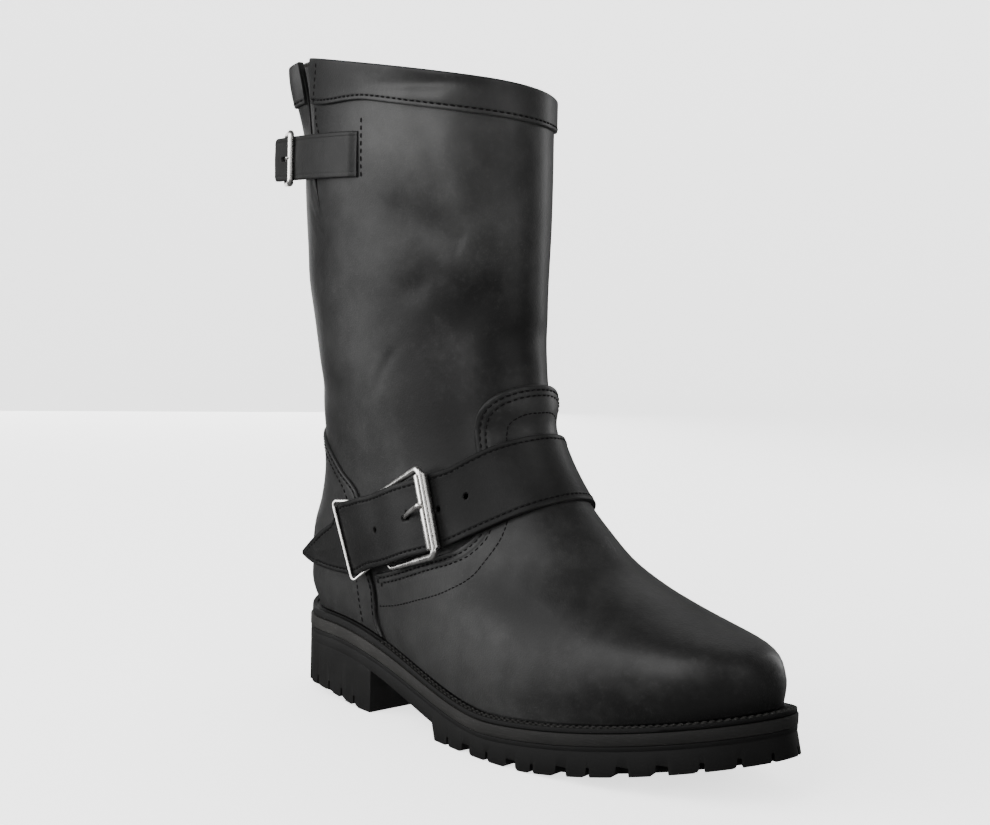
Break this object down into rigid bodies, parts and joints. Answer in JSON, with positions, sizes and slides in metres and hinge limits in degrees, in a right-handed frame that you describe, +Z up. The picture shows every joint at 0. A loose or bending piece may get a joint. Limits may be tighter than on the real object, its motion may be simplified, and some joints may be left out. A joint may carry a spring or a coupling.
{
  "type": "motorcycle boot",
  "caption": "Pull-on leather motorcycle boot for the right foot, with a buckled instep strap, a buckled collar strap over a rear slit, a round toe, a stacked lugged sole and a block heel.",
  "frame": {"origin": "on the floor under the middle of the heel", "axes": "+X to the toe, +Y to the inner side of the right foot, +Z up"},
  "size_m": [0.325, 0.1169, 0.3547],
  "materials": {
    "upper_leather": "oiled black, soft satin",
    "panel_leather": "oiled black, soft satin",
    "strap_leather": "oiled black, soft satin, stitched edges",
    "lining_leather": "plain matt",
    "welt_black": "black, waxed edge, stitched",
    "midsole_rubber": "dark warm grey, matt",
    "tread_rubber": "black, matt moulded",
    "nickel": "bright nickel plate"
  },
  "bodies": {
    "root": {"outsole": "tread_rubber", "heel": "tread_rubber", "midsole": "midsole_rubber", "welt": "welt_black", "insole": "lining_leather", "upper": "upper_leather", "quarter": "upper_leather", "shaft": "upper_leather", "gusset": "upper_leather", "vamp": "panel_leather", "heel_counter": "panel_leather", "collar_band": "panel_leather", "instep_strap": "strap_leather", "buckle_tab": "strap_leather", "buckle_frame": "nickel", "buckle_roller": "nickel", "buckle_prong": "nickel", "keeper_loop": "nickel", "top_strap": "strap_leather", "top_buckle_frame": "nickel", "top_buckle_prong": "nickel", "top_buckle_tab": "strap_leather"}
  },
  "joints": []
}
